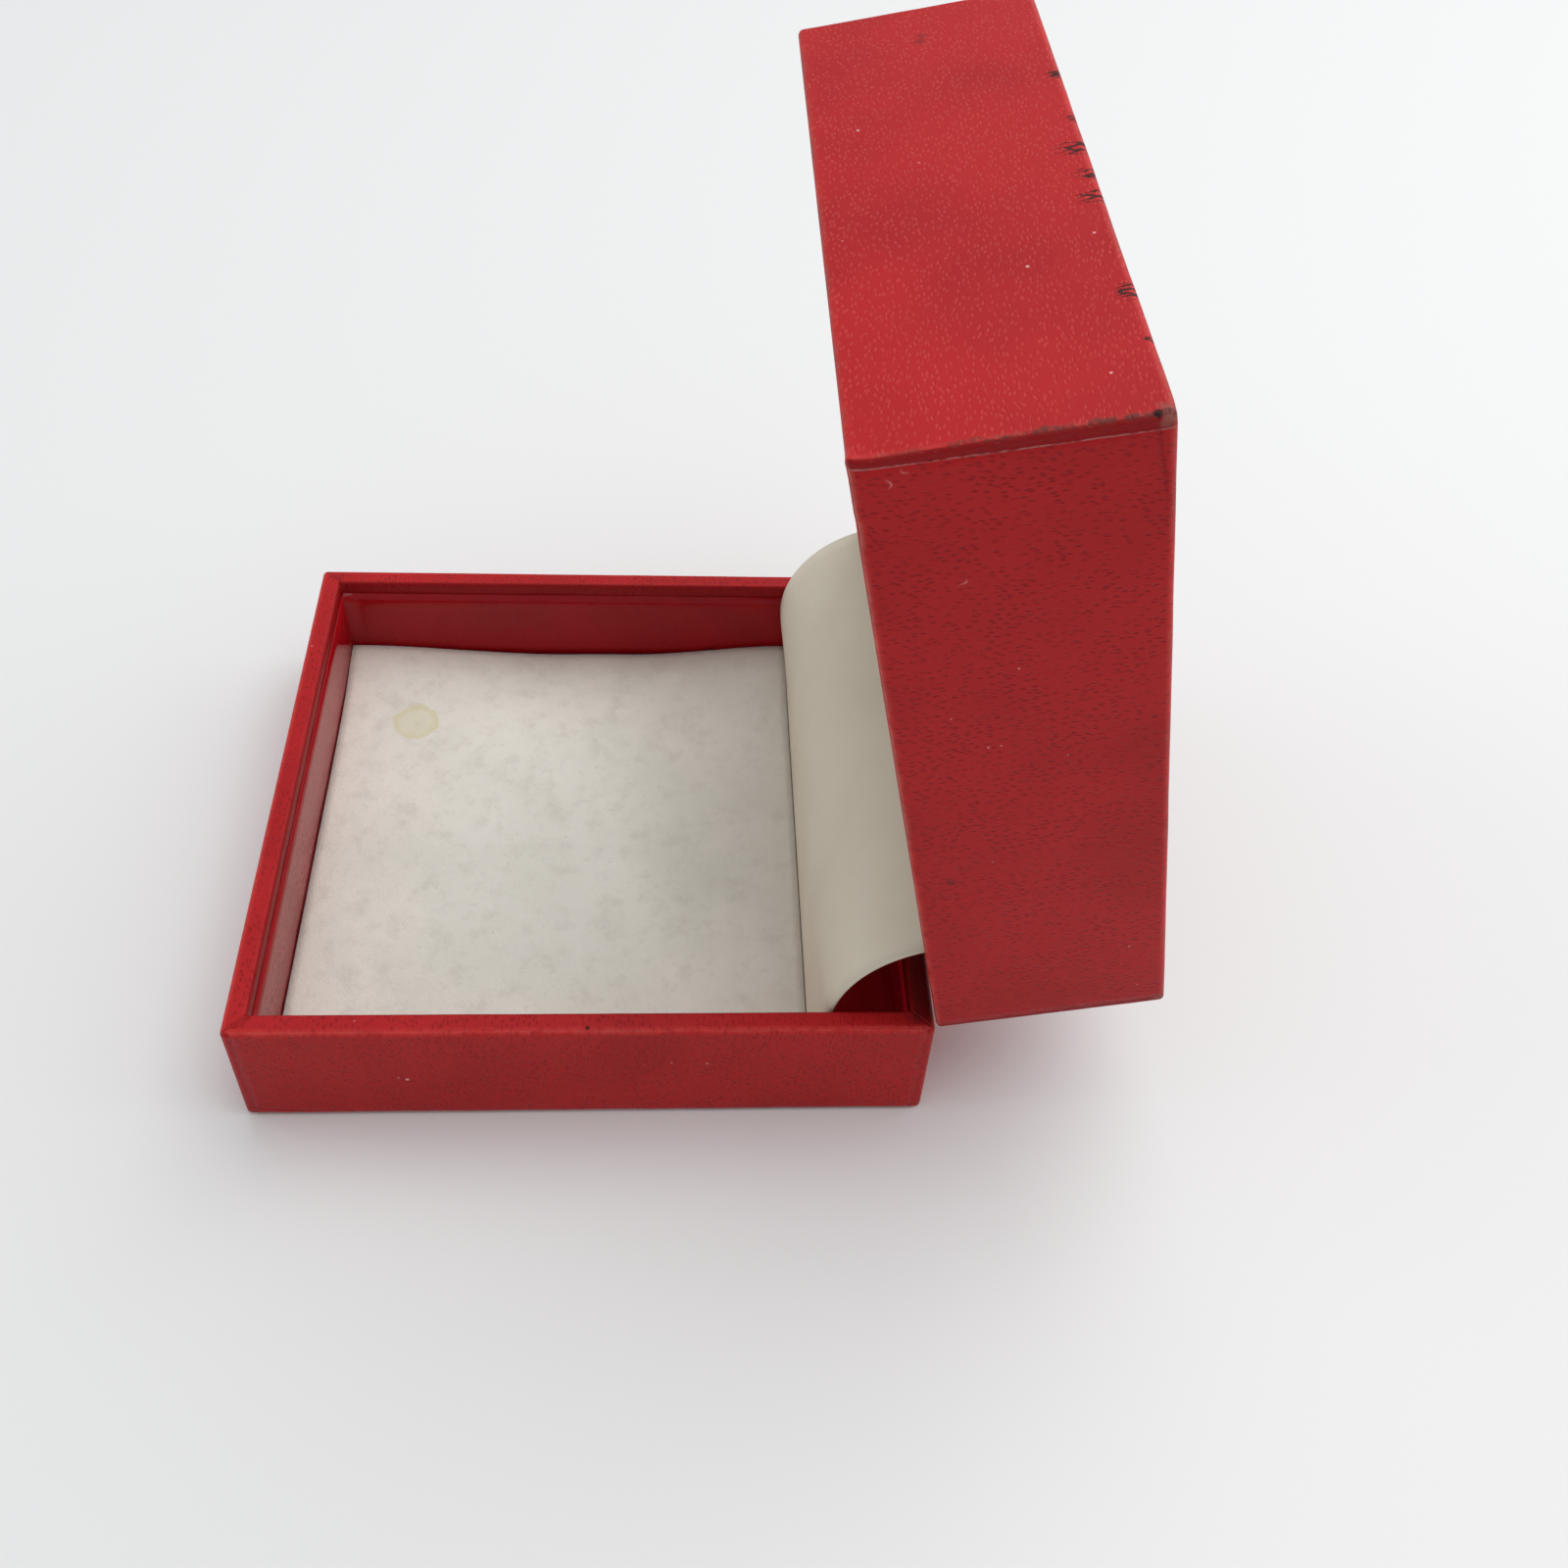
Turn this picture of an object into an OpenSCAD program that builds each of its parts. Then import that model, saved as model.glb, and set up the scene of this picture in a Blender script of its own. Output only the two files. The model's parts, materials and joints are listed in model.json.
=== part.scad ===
// Hinged ring box of covered greyboard, stored open, with a felt pad and a steel snap hinge.
// Origin: centre of the underside. +Z up, -Y is the opening side, the hinge runs along X at the back.

/* [Box] */
// Outside width, side to side along X
box_w = 67; // [60:0.5:75]
// Outside length, front to back along Y
box_l = 68; // [60:0.5:75]
// Height of the tray up to the hinge line
tray_h = 14.6; // [13:0.1:18]
// Height of the lid above the hinge line when shut
lid_h = 21.9; // [20:0.1:28]
// How far the lid stands open from shut, in degrees
open_angle = 78; // [60:1:85]

/* [Board and covering] */
// Thickness of the greyboard walls and lid top
board_t = 1.6; // [1.2:0.1:1.8]
// Thickness of the greyboard floor
floor_t = 1.2; // [1:0.1:1.6]
// Thickness of the leathercloth wrap
wrap_t = 0.35; // [0.3:0.05:0.5]
// Thickness of the inside lining
lining_t = 0.35; // [0.3:0.05:0.5]
// Thickness of the sheet under the tray
sheet_t = 0.2; // [0.15:0.05:0.3]
// How far the wrap turns in under the tray
turn_in = 8; // [5:1:12]
// Radius of the upright outside corners
corner_r = 0.8; // [0.6:0.1:1]
// Gap between the two rims when the lid is shut
rim_gap = 0.1; // [0.1:0.05:0.3]

/* [Pads] */
// Gap between a pad or the hood and the walls
pad_gap = 0.4; // [0.3:0.1:0.8]
// Thickness of the card under each pad
card_t = 1; // [0.6:0.1:1.2]
// Thickness of the felt in the tray
felt_t = 0.7; // [0.5:0.1:1]
// Thickness of the stuffed satin in the lid
satin_t = 2; // [1:0.5:4]

/* [Hinge hood] */
// Distance from the box's centre to the hood's upright face
hood_y = 22.6; // [20:0.1:23]
// Height at which the hood starts to curve back
hood_bend_z = 11.5; // [10:0.5:12]
// Radius of the hood's curve
hood_r = 13; // [12:0.5:13]
// Angle that the hood's curve turns through
hood_sweep = 68; // [60:1:70]
// Thickness of the hood's card
hood_t = 0.5; // [0.4:0.1:0.6]
// Length of the glued flange at the hood's foot
hood_foot = 6; // [4:1:7]

/* [Hinge] */
// Width of the hinge leaves
leaf_w = 26; // [24:1:34]
// Height of a leaf from the hinge line
leaf_h = 8; // [7:0.5:8]
// Thickness of the hinge steel
steel_t = 0.5; // [0.4:0.1:0.5]
// Outside radius of the knuckles
knuckle_r = 1; // [0.9:0.1:1.1]
// Length of each end knuckle
end_knuckle = 7; // [5:1:8]
// Radius of the hinge pin
pin_r = 0.5; // [0.4:0.05:0.55]
// Running clearance round the pin
pin_clear = 0.04; // [0.02:0.01:0.08]
// Radius of the rivet shanks
rivet_r = 0.75; // [0.6:0.05:0.9]
// Distance of the outer rivets from the middle
rivet_x = 9; // [7:0.5:10]
// Distance of the rivets from the hinge line
rivet_z = 5.5; // [4:0.5:6]
// Width of the snap spring
spring_w = 6; // [4:1:8]
// Thickness of the snap spring
spring_t = 0.3; // [0.2:0.1:0.4]

/* [Hidden] */
$fn = 64;
wall_t = wrap_t + board_t + lining_t;
tray_top = tray_h - rim_gap / 2;
lid_rim = tray_h + rim_gap / 2;
lid_top = tray_h + lid_h;
floor_z = sheet_t + wrap_t;
floor_top = floor_z + floor_t;
hinge_y = box_l / 2;
inner_w = box_w - 2 * wall_t;
inner_l = box_l - 2 * wall_t;
board_w = box_w - 2 * wrap_t;
board_l = box_l - 2 * wrap_t;
lining_w = board_w - 2 * board_t;
lining_l = board_l - 2 * board_t;
notch_w = leaf_w + 2;
notch_h = knuckle_r + 0.2;
knuckle_gap = 0.15;
rivet_hole_r = rivet_r + 0.05;
rivet_head_r = 1.4;
rivet_head_t = 0.5;
pin_head_r = 0.8 * knuckle_r;
spring_gap = 0.1;
lid_board_z = lid_top - wrap_t - board_t;
lid_card_z = lid_board_z - lining_t - card_t;
sheet_inset = 2;
over = 1;

leathercloth = "#c32f30";
paper = "#8c2a2c";
card = "#d8cdb4";
greyboard = "#9a9184";

// A block centred on the box's middle, from one height to another
module slab(w, l, z0, z1) {
    translate([-w / 2, -l / 2, z0]) cube([w, l, z1 - z0]);
}

// The same with round upright corners
module round_slab(w, l, z0, z1, r) {
    slab(w - 2 * r, l, z0, z1);
    slab(w, l - 2 * r, z0, z1);
    for (x = [-1, 1], y = [-1, 1])
        translate([x * (w / 2 - r), y * (l / 2 - r), z0]) cylinder(r = r, h = z1 - z0);
}

// One upright board at the front or the back, side = -1 or 1
module cross_wall(side, z0, z1) {
    translate([-board_w / 2, side * (board_l - board_t) / 2 - board_t / 2, z0])
        cube([board_w, board_t, z1 - z0]);
}

// One upright board at the left or the right, side = -1 or 1
module side_wall(side, z0, z1) {
    translate([side * (board_w - board_t) / 2 - board_t / 2, -lining_l / 2, z0])
        cube([board_t, lining_l, z1 - z0]);
}

// Takes what was made with the lid shut to where the lid stands open
module opened() {
    translate([0, hinge_y, tray_h]) rotate([-open_angle, 0, 0]) translate([0, -hinge_y, -tray_h])
        children();
}

// The slot in both rims that the knuckles lie in
module hinge_notch() {
    translate([-notch_w / 2, hinge_y - wall_t - over, tray_h - notch_h])
        cube([notch_w, wall_t + 2 * over, 2 * notch_h]);
}

// Round bars across the back wall, on the tray's side (-1) or the lid's side (1) of the hinge line
module rivet_row(side, xs, r, y0, y1) {
    for (x = xs)
        translate([x, y0, tray_h + side * rivet_z]) rotate([-90, 0, 0]) cylinder(r = r, h = y1 - y0);
}

module rivet_holes(side, xs) {
    rivet_row(side, xs, rivet_hole_r, hinge_y - wall_t - 2 * over, hinge_y - wrap_t + over);
}

// Card or leathercloth folded round a rim, with the boards' room left out
module covering(z_rim, z_end, side) {
    z_in = z_rim - side * wrap_t;
    z_out = z_end + side * wrap_t;
    difference() {
        round_slab(box_w, box_l, min(z_rim, z_end), max(z_rim, z_end), corner_r);
        slab(board_w, board_l, min(z_in, z_out), max(z_in, z_out));
        slab(inner_w, inner_l, min(z_rim, z_in) - over, max(z_rim, z_in) + over);
        hinge_notch();
    }
}

// The paper on the inside of the four walls
module wall_lining(z0, z1) {
    difference() {
        slab(lining_w, lining_l, z0, z1);
        slab(inner_w, inner_l, z0 - over, z1 + over);
        hinge_notch();
    }
}

module tray_floor_board() color(greyboard) slab(board_w, board_l, floor_z, floor_top);

module tray_front_wall() color(greyboard) cross_wall(-1, floor_top, tray_top - wrap_t);

module tray_back_wall() color(greyboard) difference() {
    cross_wall(1, floor_top, tray_top - wrap_t);
    hinge_notch();
    rivet_holes(-1, [-rivet_x, 0, rivet_x]);
}

module tray_left_wall() color(greyboard) side_wall(-1, floor_top, tray_top - wrap_t);

module tray_right_wall() color(greyboard) side_wall(1, floor_top, tray_top - wrap_t);

module tray_wrap() color(leathercloth) difference() {
    covering(tray_top, sheet_t, 1);
    slab(box_w - 2 * turn_in, box_l - 2 * turn_in, sheet_t - over, sheet_t + wrap_t + over);
}

module tray_lining() color(paper) difference() {
    wall_lining(floor_top, tray_top - wrap_t);
    rivet_holes(-1, [-rivet_x, 0, rivet_x]);
}

module tray_base_sheet() color(paper) slab(box_w - 2 * sheet_inset, box_l - 2 * sheet_inset, 0, sheet_t);

// A pad in the tray ends at the hood's face
module tray_pad(z0, z1) {
    y0 = -inner_l / 2 + pad_gap;
    translate([-inner_w / 2 + pad_gap, y0, z0])
        cube([inner_w - 2 * pad_gap, hood_y - pad_gap - y0, z1 - z0]);
}

module tray_pad_card() color(greyboard) tray_pad(floor_top, floor_top + card_t);

module tray_pad_felt() color("#dfd9cc") tray_pad(floor_top + card_t, floor_top + card_t + felt_t);

// The hood seen from the side: a flange on the floor, an upright and a curve over the hinge
module hood_outline() {
    translate([hood_y, floor_top]) square([hood_foot, hood_t]);
    translate([hood_y, floor_top]) square([hood_t, hood_bend_z - floor_top]);
    translate([hood_y + hood_r, hood_bend_z]) intersection() {
        difference() {
            circle(r = hood_r, $fn = 180);
            circle(r = hood_r - hood_t, $fn = 180);
        }
        polygon([
            [0, 0],
            [-2 * hood_r, 0],
            [-2 * hood_r, 2 * hood_r * tan(hood_sweep / 2)],
            [-2 * hood_r * cos(hood_sweep), 2 * hood_r * sin(hood_sweep)]
        ]);
    }
}

module hinge_hood() color(card)
    translate([-inner_w / 2 + pad_gap, 0, 0]) rotate([90, 0, 90])
        linear_extrude(inner_w - 2 * pad_gap) hood_outline();

// A steel leaf on the inside of a back wall, with its knuckles at the given stretches of the hinge line
module hinge_leaf(side, stretches, xs) {
    face_y = hinge_y - wall_t - steel_t;
    z0 = side > 0 ? tray_h + knuckle_r - steel_t : tray_h - leaf_h;
    difference() {
        union() {
            translate([-leaf_w / 2, face_y, z0]) cube([leaf_w, steel_t, leaf_h - knuckle_r + steel_t]);
            for (s = stretches) {
                translate([s[0], face_y, tray_h + (side > 0 ? knuckle_r - steel_t : -knuckle_r)])
                    cube([s[1] - s[0], hinge_y - face_y, steel_t]);
                translate([s[0], hinge_y, tray_h]) rotate([0, 90, 0])
                    cylinder(r = knuckle_r, h = s[1] - s[0]);
            }
        }
        translate([-leaf_w / 2 - over, hinge_y, tray_h]) rotate([0, 90, 0])
            cylinder(r = pin_r + pin_clear, h = leaf_w + 2 * over);
        rivet_holes(side, xs);
    }
}

module hinge_tray_leaf() color("silver")
    hinge_leaf(
        -1,
        [[-leaf_w / 2, -leaf_w / 2 + end_knuckle], [leaf_w / 2 - end_knuckle, leaf_w / 2]],
        [-rivet_x, 0, rivet_x]
    );

module hinge_pin() color("gray") {
    translate([-leaf_w / 2 - knuckle_gap, hinge_y, tray_h]) rotate([0, 90, 0])
        cylinder(r = pin_r, h = leaf_w + 2 * knuckle_gap);
    for (x = [-leaf_w / 2 - 3 * knuckle_gap, leaf_w / 2 + knuckle_gap])
        translate([x, hinge_y, tray_h]) rotate([0, 90, 0])
            cylinder(r = pin_head_r, h = 2 * knuckle_gap);
}

// A strip riveted to the tray's leaf, whose bent tip bears on the lid's knuckle
module hinge_snap_spring() color("lightgray") {
    strip_y = hinge_y - wall_t - steel_t - spring_t;
    difference() {
        union() {
            translate([-spring_w / 2, strip_y, tray_h - leaf_h]) cube([spring_w, spring_t, leaf_h]);
            translate([-spring_w / 2, strip_y, tray_h - spring_t])
                cube([spring_w, hinge_y - knuckle_r - spring_gap - strip_y, spring_t]);
        }
        rivet_holes(-1, [0]);
    }
}

// Rivets from their heads inside to the outer face of the board, under the wrap
module rivets(side, xs, head_y) {
    rivet_row(side, xs, rivet_r, head_y - rivet_head_t, hinge_y - wrap_t);
    rivet_row(side, xs, rivet_head_r, head_y - rivet_head_t, head_y);
}

module tray_rivets() color("gainsboro") {
    rivets(-1, [-rivet_x, rivet_x], hinge_y - wall_t - steel_t);
    rivets(-1, [0], hinge_y - wall_t - steel_t - spring_t);
}

module lid_top_board() color(greyboard) opened() slab(board_w, board_l, lid_board_z, lid_board_z + board_t);

module lid_front_wall() color(greyboard) opened() cross_wall(-1, lid_rim + wrap_t, lid_board_z);

module lid_back_wall() color(greyboard) opened() difference() {
    cross_wall(1, lid_rim + wrap_t, lid_board_z);
    hinge_notch();
    rivet_holes(1, [-rivet_x, rivet_x]);
}

module lid_left_wall() color(greyboard) opened() side_wall(-1, lid_rim + wrap_t, lid_board_z);

module lid_right_wall() color(greyboard) opened() side_wall(1, lid_rim + wrap_t, lid_board_z);

module lid_wrap() color(leathercloth) opened() covering(lid_rim, lid_top, -1);

module lid_lining() color(paper) opened() difference() {
    union() {
        wall_lining(lid_rim + wrap_t, lid_board_z - lining_t);
        slab(lining_w, lining_l, lid_board_z - lining_t, lid_board_z);
    }
    rivet_holes(1, [-rivet_x, rivet_x]);
}

module lid_pad_card() color(greyboard) opened()
    slab(inner_w - 2 * pad_gap, inner_l - 2 * pad_gap, lid_card_z, lid_card_z + card_t);

module lid_pad_satin() color("ivory") opened()
    slab(inner_w - 2 * pad_gap, inner_l - 2 * pad_gap, lid_card_z - satin_t, lid_card_z);

module hinge_lid_leaf() color("silver") opened()
    hinge_leaf(
        1,
        [[-leaf_w / 2 + end_knuckle + knuckle_gap, leaf_w / 2 - end_knuckle - knuckle_gap]],
        [-rivet_x, rivet_x]
    );

module lid_rivets() color("gainsboro") opened() rivets(1, [-rivet_x, rivet_x], hinge_y - wall_t - steel_t);

tray_floor_board();
tray_front_wall();
tray_back_wall();
tray_left_wall();
tray_right_wall();
tray_wrap();
tray_lining();
tray_base_sheet();
tray_pad_card();
tray_pad_felt();
hinge_hood();
hinge_tray_leaf();
hinge_pin();
hinge_snap_spring();
tray_rivets();
lid_top_board();
lid_front_wall();
lid_back_wall();
lid_left_wall();
lid_right_wall();
lid_wrap();
lid_lining();
lid_pad_card();
lid_pad_satin();
hinge_lid_leaf();
lid_rivets();
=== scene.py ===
import bmesh
import bpy
import json
from math import radians
from mathutils import Matrix, Vector, noise


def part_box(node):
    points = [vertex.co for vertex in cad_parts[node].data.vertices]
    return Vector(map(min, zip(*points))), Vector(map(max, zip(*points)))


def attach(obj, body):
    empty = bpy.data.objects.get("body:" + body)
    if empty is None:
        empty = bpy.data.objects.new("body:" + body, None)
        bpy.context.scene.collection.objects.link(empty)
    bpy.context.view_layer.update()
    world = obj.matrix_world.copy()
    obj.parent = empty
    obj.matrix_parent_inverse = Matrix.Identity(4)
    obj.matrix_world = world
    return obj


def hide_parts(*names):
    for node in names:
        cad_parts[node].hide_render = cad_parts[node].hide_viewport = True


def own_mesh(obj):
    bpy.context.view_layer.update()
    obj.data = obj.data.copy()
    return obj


# Red leathercloth ring box: card boards from the frame, with its coverings, pads and finishes made here.

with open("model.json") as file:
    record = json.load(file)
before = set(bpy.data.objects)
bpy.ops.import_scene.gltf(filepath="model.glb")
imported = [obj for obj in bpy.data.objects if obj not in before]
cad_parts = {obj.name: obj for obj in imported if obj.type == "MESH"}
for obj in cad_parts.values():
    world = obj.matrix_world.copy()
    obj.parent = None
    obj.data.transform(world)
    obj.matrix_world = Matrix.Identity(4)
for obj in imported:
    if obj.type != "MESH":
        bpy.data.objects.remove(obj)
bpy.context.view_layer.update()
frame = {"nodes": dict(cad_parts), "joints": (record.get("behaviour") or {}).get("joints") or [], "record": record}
mm = 0.001
hinge = frame["joints"][0]
hingeAt = Vector(hinge["pos_m"])
openBy = radians(max(hinge["range_deg"]))
print("frame loaded, hinge at", tuple(hingeAt), "lid open by", round(openBy, 4))


# ---- places read from the frame ----

def turned(point, angle):
    return hingeAt + Matrix.Rotation(angle, 3, "X") @ (point - hingeAt)


def shutBox(node):
    # a lid node's box, measured with the lid shut
    points = [turned(v.co, openBy) for v in frame["nodes"][node].data.vertices]
    low = Vector([min(p[k] for p in points) for k in range(3)])
    high = Vector([max(p[k] for p in points) for k in range(3)])
    return low, high


trayLow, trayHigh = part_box("tray_wrap")
lidLow, lidHigh = shutBox("lid_wrap")
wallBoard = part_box("tray_left_wall")
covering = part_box("tray_floor_board")[0].x - trayLow.x      # thickness of the leathercloth in the frame
wallDepth = covering * 2 + wallBoard[1].x - wallBoard[0].x  # rim width: both coverings and the board
insideX = trayHigh.x - wallDepth
insideY = trayHigh.y - wallDepth
nearSide, frontFace = trayHigh.x / mm, trayLow.y / mm       # two outer faces that carry marks, in mm


# ---- helpers for meshes ----

def smoothStep(value, low, high):
    t = min(max((value - low) / (high - low), 0), 1)
    return t * t * (3 - 2 * t)


def cutAt(bm, axis, places):
    # slices every face at these places along one axis
    normal = Vector([1 if k == axis else 0 for k in range(3)])
    for place in places:
        geometry = bm.verts[:] + bm.edges[:] + bm.faces[:]
        bmesh.ops.bisect_plane(bm, geom=geometry, dist=1e-7, plane_co=normal * place, plane_no=normal)


def steps(low, high, step):
    count = max(1, round((high - low) / step))
    return [low + (high - low) * k / count for k in range(1, count)]


def finished(name, bm, body, finish, replaced=(), openIt=False):
    # turns a bmesh into a piece of the object
    if openIt:
        bmesh.ops.rotate(bm, cent=hingeAt, matrix=Matrix.Rotation(-openBy, 3, "X"), verts=bm.verts)
    mesh = bpy.data.meshes.new(name)
    bm.to_mesh(mesh)
    bm.free()
    for polygon in mesh.polygons:
        polygon.use_smooth = True
    piece = bpy.data.objects.new(name, mesh)
    bpy.context.scene.collection.objects.link(piece)
    piece.data.materials.append(finish)
    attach(piece, body)
    if replaced:
        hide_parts(*replaced)
    print("made", name, len(mesh.polygons), "faces")
    return piece


def thicken(piece, thickness, offset=-1):
    wall = piece.modifiers.new("thickness", "SOLIDIFY")
    wall.thickness = thickness
    wall.offset = offset
    wall.use_even_offset = True


# ---- helpers for finishes ----

class Wire:
    # a node's output that can be used in sums
    def __init__(self, finish, socket):
        self.finish, self.socket = finish, socket

    def sum(self, operation, *values):
        return self.finish.node("Math", {"operation": operation}, dict(enumerate(values)))

    def __add__(self, other):
        return self.sum("ADD", self, other)

    def __radd__(self, other):
        return self.sum("ADD", other, self)

    def __sub__(self, other):
        return self.sum("SUBTRACT", self, other)

    def __rsub__(self, other):
        return self.sum("SUBTRACT", other, self)

    def __mul__(self, other):
        return self.sum("MULTIPLY", self, other)

    def __rmul__(self, other):
        return self.sum("MULTIPLY", other, self)

    def __truediv__(self, other):
        return self.sum("DIVIDE", self, other)

    def __pow__(self, other):
        return self.sum("POWER", self, other)

    def __abs__(self):
        return self.sum("ABSOLUTE", self)

    def least(self, other):
        return self.sum("MINIMUM", self, other)

    def most(self, other):
        return self.sum("MAXIMUM", self, other)


class Finish:
    # a material with one shader, fed by wires
    def __init__(self, name, constants):
        self.material = bpy.data.materials.new(name)
        self.material.use_nodes = True
        self.tree = self.material.node_tree
        self.shader = self.tree.nodes["Principled BSDF"]
        for key, value in constants.items():
            self.shader.inputs[key].default_value = value

    def node(self, kind, settings=None, inputs=None, output=0):
        made = self.tree.nodes.new("ShaderNode" + kind)
        for key, value in (settings or {}).items():
            setattr(made, key, value)
        for key, value in (inputs or {}).items():
            self.feed(made.inputs[key], value)
        return Wire(self, made.outputs[output])

    def feed(self, socket, value):
        if isinstance(value, Wire):
            self.tree.links.new(value.socket, socket)
        else:
            socket.default_value = value

    def set(self, name, value):
        self.feed(self.shader.inputs[name], value)

    def place(self, scale=1 / mm):
        # object coordinates in millimetres
        here = self.node("TexCoord", output="Object")
        return self.node("VectorMath", {"operation": "SCALE"}, {0: here, "Scale": scale})

    def stored(self, name):
        return self.node("Attribute", {"attribute_name": name}, output="Vector")

    def parts(self, vector):
        split = self.node("SeparateXYZ", None, {0: vector})
        return [Wire(self, split.socket.node.outputs[k]) for k in range(3)]

    def joined(self, x, y, z=0.0):
        return self.node("CombineXYZ", None, {0: x, 1: y, 2: z})

    def noise(self, vector, size, detail=2.0, rough=0.5, warp=0.0):
        inputs = {"Vector": vector, "Scale": 1 / size, "Detail": detail, "Roughness": rough,
                  "Distortion": warp}
        return self.node("TexNoise", None, inputs)

    def ramp(self, value, low, high):
        # 0 at low and 1 at high, with soft ends
        settings = {"interpolation_type": "SMOOTHSTEP"}
        return self.node("MapRange", settings, {"Value": value, "From Min": low, "From Max": high})

    def blend(self, factor, first, second):
        # inputs 6 and 7 are the node's two colours
        return self.node("Mix", {"data_type": "RGBA"}, {"Factor": factor, 6: first, 7: second}, output=2)

    def away(self, vector, point):
        # distance from a fixed point
        return self.node("VectorMath", {"operation": "DISTANCE"}, {0: vector, 1: point}, output=1)

    def bump(self, height, depth, under=None):
        inputs = {"Height": height, "Distance": depth, "Strength": 1.0}
        if under is not None:
            inputs["Normal"] = under
        return self.node("Bump", None, inputs)


def colour(red, green, blue):
    return (red, green, blue, 1.0)


# ---- finishes ----

clothLook = {
    "red": colour(0.45, 0.010, 0.012),
    "deepRed": colour(0.28, 0.003, 0.006),
    "bareRed": colour(0.25, 0.003, 0.005),       # turned corners that the side flaps leave bare
    "highlightRed": colour(0.80, 0.075, 0.060),       # painted highlight: glints on the front's dashes and along the rounded edges
    "worn": colour(0.30, 0.10, 0.08),
    "grime": colour(0.13, 0.028, 0.022),
    "paintedShade": colour(0.10, 0.003, 0.005),
    "split": colour(0.026, 0.013, 0.011),
    "dust": colour(0.85, 0.58, 0.54),
    "dash": (0.86, 0.37),      # spacing of the embossed dashes along and across the grain, mm
    "lean": 0.36,              # each row of dashes is set along from the last
    "dashDepth": 0.045 * mm,
    "flap": (1.25, 0.022),     # the side flaps stop this far from the upright corners, less this a mm down
}
trayMarks = {
    "cracks": [],
    # spots by place, and radius, mm
    "pale": [((nearSide, -17.4, 6.6), 0.27), ((nearSide, 12.0, 9.0), 0.15)],
    "dark": [((33.0, 0.5, 14.6), 0.26), ((33.3, 19.7, 14.6), 0.2), ((33.4, -4.6, 14.5), 0.2)],
    "smudge": [],
    "lint": [],
    "edgeWear": 0.2,
}
lidMarks = {
    # cracks from the edge of the closed panel: along x, reach inward, half width, mm
    "cracks": [
        (-15.6, 1.9, 1.3), (-7.6, 1.3, 1.3), (-2.6, 3.8, 1.7), (1.7, 2.6, 1.2), (5.3, 3.0, 1.4),
        (18.8, 2.2, 1.8), (24.9, 1.0, 0.5),
    ],
    # spots by place with the lid shut, and radius
    "pale": [
        ((-11.6, frontFace, 18.8), 0.20), ((13.5, frontFace, 29.5), 0.20),
        ((10.4, frontFace, 34.9), 0.17), ((28.2, frontFace, 33.0), 0.16),
    ],
    "dark": [((33.3, frontFace, 35.2), 0.50), ((24.9, frontFace, 36.0), 0.3)],
    "smudge": [
        ((-27.3, frontFace, 25.7), 0.75), ((-26.2, frontFace, 25.5), 0.75), ((nearSide, 11.5, 17.9), 0.6),
    ],
    "lint": [(nearSide, -31.9, 18.0), (nearSide, -21.6, 22.0)],
    "edgeWear": 1.0,
}


def clothGrain(f, look, sheet):
    # embossed dashes along the sheet's first direction, and a finer skin between them
    u, v, _ = f.parts(sheet)
    sway = f.noise(sheet, 7.0, 1.0) - 0.5
    drift = f.noise(sheet, 1.9, 1.0) - 0.5
    row = v / look["dash"][1] + drift * 1.4 + sway * 4.0
    spaced = f.joined(u / look["dash"][0] + drift * 0.5 + row * look["lean"], row)
    inputs = {"Vector": spaced, "Scale": 1.0, "Randomness": 0.95}
    settings = {"voronoi_dimensions": "2D", "feature": "F1"}
    near = f.node("TexVoronoi", settings, inputs)
    chance = f.parts(Wire(f, near.socket.node.outputs["Color"]))[0]
    patchy = f.ramp(f.noise(sheet, 4.0, 2.0), 0.28, 0.6)
    dash = f.ramp(near, 0.36, 0.16) * f.ramp(chance, 0.12, 0.6) * (0.45 + patchy * 0.55)
    skin = f.noise(sheet, 0.30, 3.0, 0.6)
    return dash, skin


class BoxPlace:
    # where a point of a covering is: distances from the edges of its box, in mm
    def __init__(self, f, half, mouthZ, closedZ):
        self.point = f.stored("place")
        self.x, self.y, self.z = f.parts(self.point)
        self.fromSide = half[0] - abs(self.x)
        self.fromEnd = half[1] - abs(self.y)
        self.depth = abs(self.z - closedZ)
        self.fromMouth = abs(self.z - mouthZ)
        nearer, self.further = self.fromSide.least(self.fromEnd), self.fromSide.most(self.fromEnd)
        # inside the rim, which as it stands takes in the closed panel too
        self.inside = f.ramp(nearer, wallDepth / mm - 0.30, wallDepth / mm - 0.12)
        self.fromEdge = nearer.most(self.further.least(self.depth.least(self.fromMouth)))
        self.onSide = f.ramp(self.fromSide, 0.30, 0.15)
        self.onFront = f.ramp(self.y, -half[1] + 0.7, -half[1] + 0.3)
        self.fromNearCorner = half[0] - self.x


def crackMask(f, at, cracks):
    # dark branching splits in the coating that run in from the closed panel's edge on the front wall
    allowed = 0.0
    for along, reach, width in cracks:
        across = f.ramp(abs(at.x - along), width, width * 0.15)
        one = across * f.ramp(at.depth, reach, reach * 0.1)
        allowed = one.most(allowed)
    warp = f.noise(at.point, 0.8, 3.0, 0.6)
    spaced = f.joined(at.x * 1.75 + warp * 1.7, at.depth * 0.42 + warp * 0.8)
    settings = {"voronoi_dimensions": "2D", "feature": "DISTANCE_TO_EDGE"}
    line = f.node("TexVoronoi", settings, {"Vector": spaced, "Scale": 1.0})
    return f.ramp(line - allowed * 0.26, -0.03, -0.08) * at.onFront


def spotMask(f, at, spots, ragged):
    total = 0.0
    for centre, radius in spots:
        far = f.away(at.point, centre) + (ragged - 0.5) * radius
        total = f.ramp(far, radius, radius * 0.35).most(total)
    return total


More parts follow.
